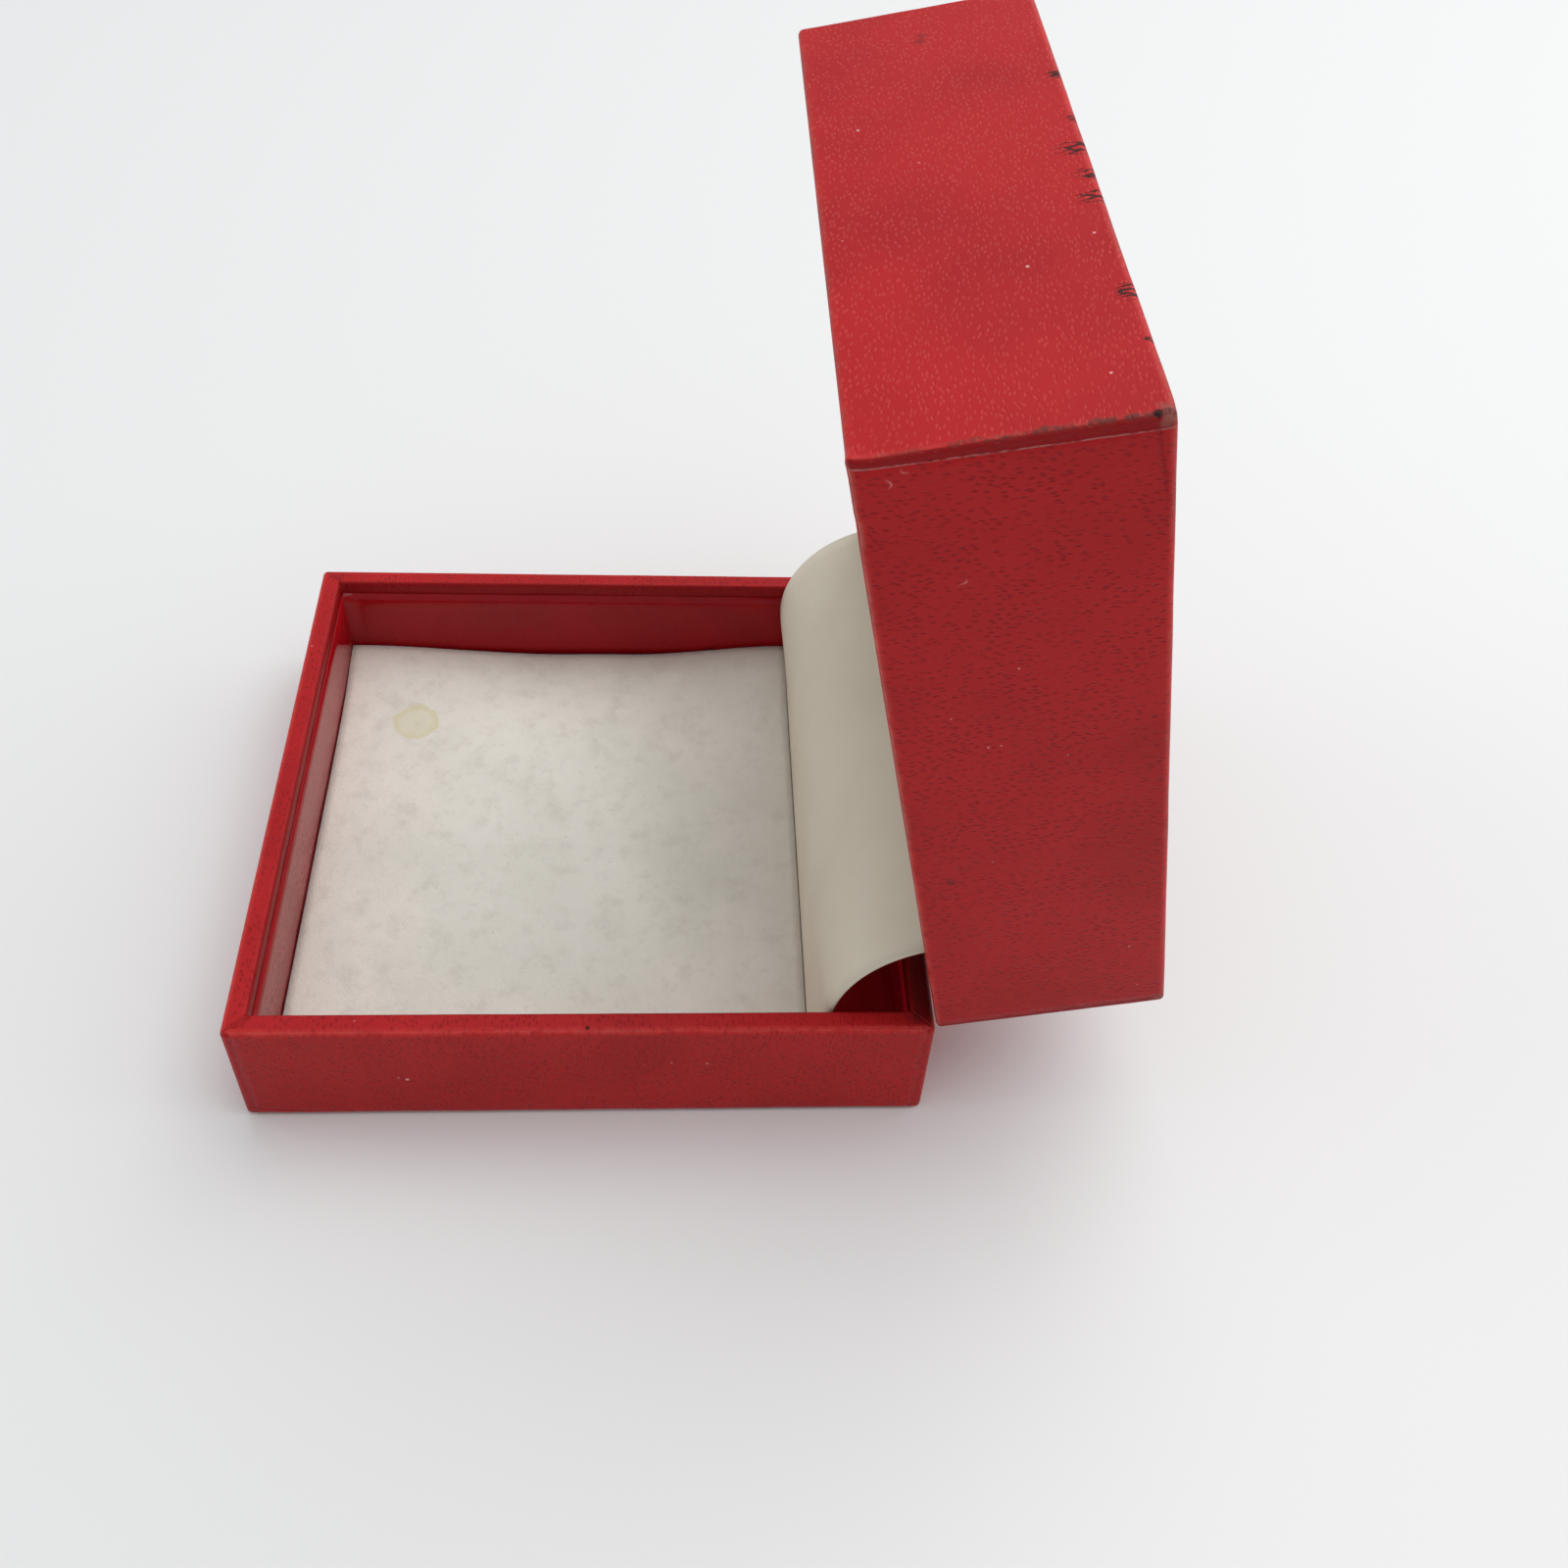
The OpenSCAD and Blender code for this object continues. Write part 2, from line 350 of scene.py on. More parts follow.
def lintMask(f, at, places):
    # short curled hairs: the contour of a smooth noise, inside a small ball
    near = 0.0
    for centre in places:
        near = f.ramp(f.away(at.point, centre), 1.1, 0.5).most(near)
    hair = abs(f.noise(at.point, 2.3, 1.0) - 0.5)
    return f.ramp(hair, 0.022, 0.006) * near


def leathercloth(name, look, marks, half, mouthZ, closedZ):
    # half: half width and half length, with the mouth's and the closed panel's heights, all in mm
    f = Finish(name, {"IOR": 1.48, "Specular IOR Level": 0.18})
    sheet = f.node("UVMap", {"uv_map": "sheet"})
    dash, skin = clothGrain(f, look, sheet)
    at = BoxPlace(f, half, mouthZ, closedZ)
    ragged = f.noise(at.point, 1.1, 4.0, 0.65)
    patches = f.ramp(f.noise(at.point, 7.0, 2.0), 0.46, 0.60)
    tone = f.blend(f.ramp(f.noise(at.point, 14.0, 2.0), 0.35, 0.75) * 0.45, look["red"], look["deepRed"])
    # painted shade and highlight: the dashes are darker on the sides, for shade in their pits, and lighter on the
    # front, for glints on their edges
    tone = f.blend(dash * (1 - at.onFront) * 0.85, tone, look["deepRed"])
    tone = f.blend(dash * at.onFront * 0.30, tone, look["highlightRed"])
    # the turned corner shows as a darker band, with the cut edge of the side flap below it
    flapEnd = at.fromEnd - (look["flap"][0] - at.depth * look["flap"][1]) + (ragged - 0.5) * 0.12
    bare = f.ramp(flapEnd, 0.03, -0.05) * at.onSide
    tone = f.blend(bare * 0.85 * marks["edgeWear"], tone, look["bareRed"])
    cutEdge = f.ramp(abs(flapEnd), 0.08, 0.02) * at.onSide * (0.2 + 0.8 * f.ramp(ragged, 0.4, 0.6))
    tone = f.blend(cutEdge * 0.24 * marks["edgeWear"], tone, look["dust"])
    # painted highlight along the edges, where the rounded edges catch the light, and edges rubbed by handling
    edgeHighlight = f.ramp(at.fromEdge, 0.75, 0.15) * (0.5 + 0.5 * f.ramp(ragged, 0.35, 0.6)) * (1 - bare)
    tone = f.blend(edgeHighlight * 0.35, tone, look["highlightRed"])
    rubbed = f.ramp(at.fromEdge - ragged * 0.9, 0.05, -0.25) * patches * 0.35
    nearEdge = f.ramp(at.fromNearCorner - ragged * 1.05, 0.12, -0.15)
    nearEdge = nearEdge * f.ramp(at.fromNearCorner, 0.06, 0.22)
    broken = f.ramp(f.noise(at.point, 1.3, 4.0, 0.65), 0.42, 0.56) * f.ramp(at.depth, 21.6, 10.0)
    nearEdge = nearEdge * at.onFront * broken
    corner = f.ramp(at.further.most(at.depth) - ragged * 1.6, 0.7, -0.3)
    worn = (rubbed * (1 - bare * 0.8)).most(corner * 0.85) * marks["edgeWear"]
    tone = f.blend(worn, tone, look["worn"])
    tone = f.blend(nearEdge * 0.85 * marks["edgeWear"], tone, look["grime"])
    # a pale pink line along the mouth edge of the sides
    lip = f.ramp(at.fromMouth.most(at.fromSide), 0.32, 0.12) * (0.25 + 0.75 * f.ramp(ragged, 0.38, 0.6))
    tone = f.blend(lip * 0.16 * marks["edgeWear"], tone, look["dust"])
    # a crease beside the closed panel's edge, near the front corner, dented in the bump and with painted shade in
    # its colour
    inward = half[1] + at.y
    crease = f.ramp(abs(at.depth - 1.5 + inward * 0.11), 0.28, 0.06) * f.ramp(inward, 9.0, 5.0) * at.onSide
    tone = f.blend(crease * 0.5 * marks["edgeWear"], tone, look["deepRed"])
    tone = f.blend(at.inside * 0.75, tone, look["bareRed"])
    # painted shade along the hinge, on the back rim where the lid's rim shades it
    hingeShade = f.ramp(at.y, half[1] - 2.4, half[1] - 1.7) * f.ramp(at.fromMouth, 1.2, 0.4)
    tone = f.blend(hingeShade * 0.7 * f.ramp(at.fromSide, 0.3, 1.8), tone, look["paintedShade"])
    # splits, spots and dust
    split = spotMask(f, at, marks["dark"], ragged)
    if marks["cracks"]:
        split = split.most(crackMask(f, at, marks["cracks"]))
    tone = f.blend(split * 0.92, tone, look["split"])
    if marks["smudge"]:
        tone = f.blend(spotMask(f, at, marks["smudge"], ragged) * 0.35, tone, look["split"])
    inputs = {"Vector": at.point, "Scale": 1 / 3.7, "Randomness": 1.0}
    dust = f.ramp(f.node("TexVoronoi", {"feature": "F1"}, inputs), 0.032, 0.014) * 0.8
    dust = dust.most(spotMask(f, at, marks["pale"], ragged))
    if marks["lint"]:
        dust = dust.most(lintMask(f, at, marks["lint"]) * 0.35)
    tone = f.blend(dust * 0.7, tone, look["dust"])
    f.set("Base Color", tone)
    f.set("Roughness", 0.40 + skin * 0.14 + worn * 0.25 + split * 0.2 - dash * 0.10)
    # mitred folds where the covering turns over the rim
    mitre = f.ramp(abs(at.fromSide - at.fromEnd), 0.20, 0.02) * f.ramp(at.fromMouth, 0.5, 0.3)
    step = f.ramp(flapEnd, -0.04, 0.04) * at.onSide
    large = step * 0.7 - mitre - corner * 0.5 - split * 0.5 - crease * 0.8
    coarse = f.bump(large, 0.10 * mm)
    height = skin * 0.18 - dash + f.noise(sheet, 9.0, 2.0) * 0.9
    f.set("Normal", f.bump(height, look["dashDepth"], coarse))
    return f.material


def liningCloth(name, look):
    # thin calendered paper: deep red face on, glossy at low angles
    f = Finish(name, {"IOR": 1.46, "Specular IOR Level": 0.28})
    sheet = f.node("UVMap", {"uv_map": "sheet"})
    dash, skin = clothGrain(f, look, sheet)
    place = f.stored("place")
    tone = f.blend(f.ramp(f.noise(sheet, 10.0, 3.0), 0.35, 0.7) * 0.5, look["red"], look["deepRed"])
    tone = f.blend(dash * 0.3, tone, look["deepRed"])
    # painted light: the paper behind the hood is made brighter, standing in for the light that reaches the bay
    behind = f.ramp(f.parts(place)[1], look["litBayFrom"] - 1, look["litBayFrom"] + 1)
    tone = f.blend(behind, tone, look["litBayRed"])
    ragged = f.noise(place, 0.8, 3.0)
    # a small dark spot at the foot of the far wall, by the pad's far edge
    mark = f.ramp(f.away(place, look["markAt"]) + (ragged - 0.5) * 1.2, 0.9, 0.3)
    f.set("Base Color", f.blend(mark * 0.8, tone, look["split"]))
    f.set("Roughness", 0.13 + skin * 0.07)
    f.set("Normal", f.bump(skin * 0.2 - dash * 0.3, look["dashDepth"]))
    return f.material


feltLook = {
    "pale": colour(0.90, 0.88, 0.79),
    "grey": colour(0.64, 0.66, 0.57),
    "paintedShade": colour(0.60, 0.55, 0.48),
    "fleck": colour(0.50, 0.46, 0.38),
    "redBounce": colour(0.80, 0.68, 0.60),
    "stain": colour(0.74, 0.69, 0.34),
    "stainAt": (-18.6, -22.6),
    "stainSize": 2.9,
}


def feltFinish(name, look, low, high):
    # pressed felt: cloudy, flecked, with painted shade towards the hood and painted reflected light that makes it
    # faintly pink beside the red walls, with one old ring-shaped stain
    f = Finish(name, {"Sheen Weight": 0.3, "Sheen Roughness": 0.6, "Specular IOR Level": 0.12})
    place = f.place()
    x, y, _ = f.parts(place)
    # painted shade: darker and more mottled towards the hood, and most at its far end, standing in for the lid's
    # shadow
    hoodShade = f.ramp(y + x * -0.35 + (f.noise(place, 9.0, 3.0) - 0.5) * 9, -8.0, 26.0)
    cloud = f.ramp(f.noise(place, 13.0, 4.0, 0.6), 0.34, 0.70)
    tone = f.blend(cloud * (0.30 + hoodShade * 0.25), look["pale"], look["grey"])
    blotch = f.ramp(f.noise(place, 2.6, 5.0, 0.68), 0.46, 0.72)
    tone = f.blend(blotch * (0.24 + hoodShade * 0.14), tone, look["fleck"])
    fromEnds = (y - low.y / mm).least(high.y / mm - y)
    fromSides = (x - low.x / mm).least(high.x / mm - x)
    fromEdge = fromEnds.least(fromSides) + (f.noise(place, 5.0, 3.0) - 0.5) * 5
    # painted reflected light: pinker within a few mm of the edges, beside the red walls
    tone = f.blend(f.ramp(fromEdge, 6.0, 0.0) * 0.16, tone, look["redBounce"])
    tone = f.blend(hoodShade * 0.55, tone, look["paintedShade"])
    flecks = f.ramp(f.noise(place, 0.9, 4.0, 0.7), 0.60, 0.78)
    tone = f.blend(flecks * 0.45, tone, look["fleck"])
    dx, dy = x - look["stainAt"][0], y - look["stainAt"][1]
    radius = (dx * dx + dy * dy) ** 0.5 + (f.noise(place, 1.5, 3.0) - 0.5) * 1.1
    stain = f.ramp(radius, look["stainSize"], look["stainSize"] * 0.86)
    ring = stain * f.ramp(radius, look["stainSize"] * 0.55, look["stainSize"] * 0.9)
    tone = f.blend(stain * 0.30 + ring * 0.30, tone, look["stain"])
    fibre = f.noise(place, 0.35, 4.0, 0.75)
    tone = f.blend(f.ramp(fibre, 0.6, 0.8) * 0.25, tone, look["fleck"])
    f.set("Base Color", tone)
    f.set("Roughness", 0.86 + fibre * 0.12)
    f.set("Normal", f.bump(fibre + f.noise(place, 2.2, 3.0) * 1.4, 0.10 * mm))
    return f.material


def cardFinish(name, base, dark, grain=0.5):
    # smooth paper-faced card with faint fibres
    f = Finish(name, {"Specular IOR Level": 0.3})
    place = f.place()
    cloud = f.ramp(f.noise(place, 9.0, 4.0, 0.6), 0.35, 0.7)
    fibre = f.noise(place, 0.5, 4.0, 0.7, 0.8)
    tone = f.blend(cloud * 0.5 + f.ramp(fibre, 0.55, 0.8) * 0.25, base, dark)
    f.set("Base Color", tone)
    f.set("Roughness", 0.62 + fibre * 0.2)
    f.set("Normal", f.bump(fibre * grain + cloud * 0.3, 0.05 * mm))
    return f.material


def boardFinish(name):
    # grey pulp board: layered, flecked and matt
    f = Finish(name, {"Specular IOR Level": 0.2})
    place = f.place()
    pulp = f.noise(place, 0.9, 5.0, 0.75, 0.5)
    flecks = f.ramp(f.noise(place, 0.35, 3.0, 0.7), 0.60, 0.72)
    tone = f.blend(f.ramp(pulp, 0.3, 0.7), colour(0.38, 0.35, 0.31), colour(0.27, 0.25, 0.22))
    f.set("Base Color", f.blend(flecks * 0.6, tone, colour(0.12, 0.10, 0.09)))
    f.set("Roughness", 0.85 + pulp * 0.1)
    f.set("Normal", f.bump(pulp, 0.08 * mm))
    return f.material


def steelFinish(name, base, grainAxis=0, rough=0.3):
    # plated sheet steel with fine rolling marks and a few dull spots
    f = Finish(name, {"Metallic": 1.0})
    x, y, z = f.parts(f.place())
    long, across = (x, y + z) if grainAxis == 0 else (y + z, x)
    rolled = f.noise(f.joined(long * 0.08, across * 2.2), 0.35, 3.0, 0.6)
    dull = f.ramp(f.noise(f.place(), 1.8, 4.0, 0.65), 0.5, 0.75)
    f.set("Base Color", f.blend(dull * 0.6, base, colour(0.30, 0.26, 0.21)))
    f.set("Roughness", rough + rolled * 0.12 + dull * 0.25)
    f.set("Normal", f.bump(rolled, 0.01 * mm))
    return f.material


def satinFinish(name):
    # cream satin: fine floats across, soft sheen
    f = Finish(name, {"Sheen Weight": 0.5, "Sheen Roughness": 0.35, "Specular IOR Level": 0.45})
    place = f.stored("place")
    x, y, _ = f.parts(place)
    floats = f.noise(f.joined(x * 0.15, y * 4.0), 0.4, 2.0, 0.6)
    cloud = f.ramp(f.noise(place, 12.0, 3.0), 0.35, 0.7)
    f.set("Base Color", f.blend(cloud * 0.5, colour(0.80, 0.74, 0.62), colour(0.72, 0.65, 0.52)))
    f.set("Roughness", 0.36 + floats * 0.16)
    f.set("Normal", f.bump(floats, 0.02 * mm))
    return f.material


# ---- coverings ----

wrapLook = {
    "edge": 0.55 * mm,        # radius of the outer edges
    "rimEdge": 0.32 * mm,     # radius of the inner edge of the rim
    "skin": 0.28 * mm,        # thickness of the sheet
    "lip": 3.0 * mm,          # how far the sheet turns down inside
    "cell": 1.0 * mm,
    "wave": 0.07 * mm,        # unevenness of the covered faces
    "flapStep": 0.07 * mm,    # the side flaps lie over the turned corners
    "flapEdge": 0.06 * mm,    # over this width
    "hold": 0.12 * mm,        # the cells start this far past the rounded edges
    "notchSide": 0.55 * mm,   # room beside the hinge's knuckles
    "notchDepth": 0.2 * mm,   # and past them
}
# knocks in the lid: place with the lid shut, how far it moves, and over what radius, mm
lidKnocks = [
    ((nearSide, -27.8, 14.9), (-0.30, 0, 0.12), 1.5),
    ((nearSide, frontFace, 14.7), (0.10, -0.30, -0.10), 1.6),
    ((nearSide, frontFace, 36.4), (-0.12, 0.12, -0.15), 1.3),
]


def unfold(point, normal, low, high, mouth):
    # where a point of the covering lies on the flat sheet, in mm, with the closed panel in the middle
    closedZ = low.z if mouth > 0 else high.z
    rise = abs(point.z - closedZ)
    tall = high.z - low.z
    x, y, n = point.x, point.y, normal
    sideX, sideY = (1 if x > 0 else -1), (1 if y > 0 else -1)
    if abs(n.z) > max(abs(n.x), abs(n.y)):
        if rise < tall / 2:
            u, v = x, y
        elif high.x - abs(x) < high.y - abs(y):
            u, v = sideX * (high.x + tall + high.x - abs(x)), y
        else:
            u, v = x, sideY * (high.y + tall + high.y - abs(y))
    elif abs(n.x) > abs(n.y):
        inside = n.x * x < 0
        u, v = sideX * (high.x + (2 * tall + wallDepth - rise if inside else rise)), y
    else:
        inside = n.y * y < 0
        u, v = x, sideY * (high.y + (2 * tall + wallDepth - rise if inside else rise))
    return u / mm, v / mm


def wrapSheet(low, high, mouth, look, turnIn=None):
    # the covering as one sheet: outside, over the rim and a little way down inside
    bm = bmesh.new()
    bmesh.ops.create_cube(bm, size=1)
    bmesh.ops.scale(bm, vec=high - low, verts=bm.verts)
    bmesh.ops.translate(bm, vec=(low + high) / 2, verts=bm.verts)
    top = max(bm.faces, key=lambda face: mouth * face.calc_center_median().z)
    panel = min(bm.faces, key=lambda face: mouth * face.calc_center_median().z)
    outer = bm.edges[:]
    bmesh.ops.inset_region(bm, faces=[top], thickness=wallDepth, use_even_offset=True)
    bmesh.ops.inset_region(bm, faces=[top], thickness=0.0, depth=-look["lip"])
    if turnIn:
        bmesh.ops.inset_region(bm, faces=[panel], thickness=turnIn, use_even_offset=True)
    bmesh.ops.delete(bm, geom=[top, panel] if turnIn else [top], context="FACES")
    bmesh.ops.bevel(bm, geom=outer, offset=look["edge"], offset_type="OFFSET", segments=4,
                    profile=0.5, affect="EDGES", material=-1)
    rimInner = [e for e in bm.edges if isRimInner(e, low, high, mouth)]
    bmesh.ops.bevel(bm, geom=rimInner, offset=look["rimEdge"], offset_type="OFFSET", segments=3,
                    profile=0.5, affect="EDGES", material=-1)
    bmesh.ops.recalc_face_normals(bm, faces=bm.faces)
    hold = look["edge"] + look["hold"]
    for axis in range(3):
        ends = [low[axis] + hold, high[axis] - hold]
        cutAt(bm, axis, ends + steps(ends[0], ends[1], look["cell"]))
    return bm


def isRimInner(edge, low, high, mouth):
    rimZ = high.z if mouth > 0 else low.z
    for v in edge.verts:
        if abs(v.co.z - rimZ) > 1e-6 or abs(v.co.x) > insideX + 1e-6 or abs(v.co.y) > insideY + 1e-6:
            return False
    return True


def notchBack(bm, mouth, look):
    # leaves room for the hinge's knuckles in the back of the rim
    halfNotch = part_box("hinge_pin")[1].x + look["notchSide"]
    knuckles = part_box("hinge_tray_leaf")[1].z - hingeAt.z
    edgeZ = hingeAt.z - mouth * (knuckles + look["notchDepth"])
    cutAt(bm, 0, [-halfNotch, halfNotch])
    cutAt(bm, 2, [edgeZ])
    inside = []
    for face in bm.faces:
        middle = face.calc_center_median()
        if abs(middle.x) < halfNotch and middle.y > insideY - 1 * mm and mouth * (middle.z - edgeZ) > 0:
            inside.append(face)
    bmesh.ops.delete(bm, geom=inside, context="FACES")


def layFlat(bm, low, high, mouth):
    # stores each point's place on the box and on the flat sheet
    sheet = bm.loops.layers.uv.new("sheet")
    place = bm.verts.layers.float_vector.new("place")
    bm.normal_update()
    for v in bm.verts:
        v[place] = v.co / mm
    for face in bm.faces:
        for loop in face.loops:
            loop[sheet].uv = unfold(loop.vert.co, face.normal, low, high, mouth)


def flapEdges(bm, high, closedZ, look):
    # cuts along both sides of each side flap's slanting edge, and returns how far inside it a point is
    start, slope = (value * unit for value, unit in zip(clothLook["flap"], (mm, 1)))

    def inside(point):
        return high.y - abs(point.y) - start + slope * abs(point.z - closedZ)

    rise = 1 if high.z > closedZ else -1
    for end in (-1, 1):
        for step in (0, look["flapEdge"]):
            foot = Vector((0, end * (high.y - start - step), closedZ))
            normal = Vector((0, end, -rise * slope))
            geometry = bm.verts[:] + bm.edges[:] + bm.faces[:]
            bmesh.ops.bisect_plane(bm, geom=geometry, dist=1e-7, plane_co=foot, plane_no=normal)
    return inside


def roughen(bm, mouthZ, closedZ, look, inside, knocks):
    # unevenness of a covering laid by hand, the step at the side flaps, and knocks
    bm.normal_update()
    for v in bm.verts:
        start = v.co.copy()
        p = start / mm
        calm = 0.25 + 0.75 * smoothStep(abs(start.z - mouthZ), 0, 2 * mm)
        swell = noise.noise(p / 13) * 0.6 + noise.noise(p / 4.5 + Vector((9, 0, 0))) * 0.4
        v.co += v.normal * swell * look["wave"] * calm
        if abs(v.normal.x) > 0.9 and abs(start.x) > insideX + wallDepth / 2:
            lift = smoothStep(inside(start), 0, look["flapEdge"])
            lift *= smoothStep(abs(start.z - closedZ), 0.3 * mm, 1.2 * mm)
            v.co.x += (1 if start.x > 0 else -1) * lift * look["flapStep"]
        for centre, push, radius in knocks:
            near = smoothStep(1 - (p - Vector(centre)).length / radius, 0, 1)
            v.co += Vector(push) * mm * near


print("making the coverings")
halfBox = (trayHigh.x / mm, trayHigh.y / mm)
trayCloth = leathercloth("leathercloth_tray", clothLook, trayMarks, halfBox,
                         trayHigh.z / mm, trayLow.z / mm)
lidCloth = leathercloth("leathercloth_lid", clothLook, lidMarks, halfBox,
                        lidLow.z / mm, lidHigh.z / mm)


def makeWrap(name, body, node, low, high, mouth, finish, turnIn=None, knocks=(), openIt=False):
    look = wrapLook
    bm = wrapSheet(low, high, mouth, look, turnIn)
    mouthZ, closedZ = (high.z, low.z) if mouth > 0 else (low.z, high.z)
    inside = flapEdges(bm, high, closedZ, look)
    notchBack(bm, mouth, look)
    layFlat(bm, low, high, mouth)
    roughen(bm, mouthZ, closedZ, look, inside, knocks)
    thicken(finished(name, bm, body, finish, (node,), openIt), look["skin"])


makeWrap("trayWrap", "tray", "tray_wrap", trayLow, trayHigh, 1, trayCloth, turnIn=8 * mm)
makeWrap("lidWrap", "lid", "lid_wrap", lidLow, lidHigh, -1, lidCloth, knocks=lidKnocks, openIt=True)


# ---- linings ----

liningLook = {
    "thickness": 0.12 * mm, "below": 1.6 * mm, "cell": 2.0 * mm, "wave": 0.04 * mm,
    "overFoot": 0.62 * mm,      # the paper on the tray's floor covers the hood's foot
    "behindHood": 1 * mm,       # and starts this far behind the hood's face
    "underPanel": 0.05 * mm,    # gap between the lid's paper and its place in the frame
}
hoodLow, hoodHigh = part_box("hinge_hood")
liningRed = dict(clothLook, red=colour(0.37, 0.003, 0.008), deepRed=colour(0.25, 0.002, 0.005),
                 litBayRed=colour(0.80, 0.010, 0.035), litBayFrom=hoodLow.y / mm + 2.5,
                 markAt=(-31.2, 13.0, 3.9))
liningMaterial = liningCloth("lining_cloth", liningRed)


def makeLining(name, body, node, zMouth, zEnd, look, floorFrom, openIt=False):
    # a sheet round the inside of the four walls and over the closed side, where its y is past floorFrom
    mouth = 1 if zMouth > zEnd else -1
    low = Vector((-insideX, -insideY, min(zMouth, zEnd)))
    high = Vector((insideX, insideY, max(zMouth, zEnd)))
    bm = bmesh.new()
    bmesh.ops.create_cube(bm, size=1)
    bmesh.ops.scale(bm, vec=high - low, verts=bm.verts)
    bmesh.ops.translate(bm, vec=(low + high) / 2, verts=bm.verts)
    openSide = max(bm.faces, key=lambda face: mouth * face.calc_center_median().z)
    bmesh.ops.delete(bm, geom=[openSide], context="FACES")
    bmesh.ops.reverse_faces(bm, faces=bm.faces)
    cutAt(bm, 1, [floorFrom])
    bm.normal_update()
    closed = [face for face in bm.faces if abs(face.normal.z) > 0.9]
    bare = [face for face in closed if face.calc_center_median().y < floorFrom]
    bmesh.ops.delete(bm, geom=bare, context="FACES")
    for axis in range(3):
        cutAt(bm, axis, steps(low[axis], high[axis], look["cell"]))
    layFlat(bm, low, high, mouth)
    for v in bm.verts:
        v.co += v.normal * abs(noise.noise(v.co / mm / 8)) * look["wave"]
    thicken(finished(name, bm, body, liningMaterial, (node,), openIt), look["thickness"], 1)


lidInsideTop = shutBox("lid_lining")[1].z
makeLining("trayLining", "tray", "tray_lining", trayHigh.z - liningLook["below"],
           hoodLow.z + liningLook["overFoot"], liningLook, hoodLow.y + liningLook["behindHood"])
makeLining("lidLining", "lid", "lid_lining", lidLow.z + liningLook["below"],
           lidInsideTop - liningLook["underPanel"], liningLook, -insideY, openIt=True)


# ---- pads ----

padLook = {
    "cell": 1.0 * mm,
    "frontLift": 1.2 * mm, "frontReach": 26 * mm,       # the two lifted corners, and how far along each end
    "rearLift": 1.7 * mm, "rearReach": 20 * mm,
    "reach": 16 * mm,                                   # how far in from the left the pad lifts
    "towardsHood": 0.3 * mm, "towardsFront": 0.2 * mm,  # the felt is cut a little larger than its card
    "feltDip": 0.12 * mm,                               # hollows in the felt
}


def curl(x, y, low, high, look):
    # the pad has lifted at the two corners on its left
    far = smoothStep(low.x + look["reach"] - x, 0, look["reach"]) ** 2
    front = smoothStep(low.y + look["frontReach"] - y, 0, look["frontReach"])
    rear = smoothStep(y, high.y - look["rearReach"], high.y)
    return far * (look["frontLift"] * front + look["rearLift"] * rear)


def padSheet(low, high, look, dip=0.0):
    bm = bmesh.new()
    bmesh.ops.create_grid(bm, x_segments=1, y_segments=1, size=0.5)
    bmesh.ops.scale(bm, vec=(high.x - low.x, high.y - low.y, 1), verts=bm.verts)
    bmesh.ops.translate(bm, vec=((low.x + high.x) / 2, (low.y + high.y) / 2, high.z), verts=bm.verts)
    for axis in range(2):
        cutAt(bm, axis, steps(low[axis], high[axis], look["cell"]))
    for v in bm.verts:
        p = v.co / mm
        v.co.z += curl(v.co.x, v.co.y, low, high, look) + dip * (noise.noise(p / 9) - 0.3)
    return bm


print("making the pads")
feltLow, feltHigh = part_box("tray_pad_felt")
feltHigh.y += padLook["towardsHood"]
feltLow.y -= padLook["towardsFront"]
cardLow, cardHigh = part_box("tray_pad_card")
felt = finished("padFelt", padSheet(feltLow, feltHigh, padLook, padLook["feltDip"]), "tray",
                feltFinish("felt", feltLook, feltLow, feltHigh), ("tray_pad_felt",))
thicken(felt, feltHigh.z - feltLow.z - 0.05 * mm)
plainCard = cardFinish("pad_card", colour(0.62, 0.57, 0.47), colour(0.50, 0.45, 0.36))
padCard = finished("padCard", padSheet(cardLow, cardHigh, padLook), "tray", plainCard,
                   ("tray_pad_card",))
thicken(padCard, cardHigh.z - cardLow.z - 0.02 * mm)


# ---- lid pad ----

satinLook = {
    "cell": 1.5 * mm, "edge": 0.9 * mm, "shrink": 0.25 * mm,
    "most": 0.85 * mm,                              # how proud the crown stands
    "quickCrown": 14 * mm,
    "enlarge": 10, "pressure": 4.0, "bending": 2.0, "quality": 6, "frames": 20,
    "pleat": 0.10 * mm, "pleatReach": 6.0 * mm,
    "pleatSpacing": 2.3, "pleatLength": 14,         # in mm
}


def inflate(bm, held, look):
    # cloth simulation of the padded face, run at ten times its size so that the solver's own units suit it
    start = [v.co.copy() for v in bm.verts]
    mesh = bpy.data.meshes.new("padTrial")
    bm.to_mesh(mesh)
    mesh.transform(Matrix.Scale(look["enlarge"], 4))
    trial = bpy.data.objects.new("padTrial", mesh)
    bpy.context.scene.collection.objects.link(trial)
    pins = trial.vertex_groups.new(name="held")
    pins.add(held, 1.0, "REPLACE")
    cloth = trial.modifiers.new("cloth", "CLOTH")
    cloth.settings.quality = look["quality"]
    cloth.settings.vertex_group_mass = "held"
    cloth.settings.use_pressure = True
    cloth.settings.uniform_pressure_force = look["pressure"]
    cloth.settings.effector_weights.gravity = 0
    cloth.settings.bending_stiffness = look["bending"]
    cloth.point_cache.frame_start = 1
    cloth.point_cache.frame_end = look["frames"]
    scene = bpy.context.scene
    for frameNumber in range(1, look["frames"] + 1):
        scene.frame_set(frameNumber)
    settled = trial.evaluated_get(bpy.context.evaluated_depsgraph_get()).data
    moved = [v.co / look["enlarge"] for v in settled.vertices]
    scene.frame_set(1)
    bpy.data.objects.remove(trial)
    largest = max((after - before).length for before, after in zip(start, moved))
    share = min(1, look["most"] / largest)
    print("lid pad swelled by", round(largest / mm, 2), "mm, kept to", round(largest * share / mm, 2))
    for v, before, after in zip(bm.verts, start, moved):
        v.co = before.lerp(after, share)


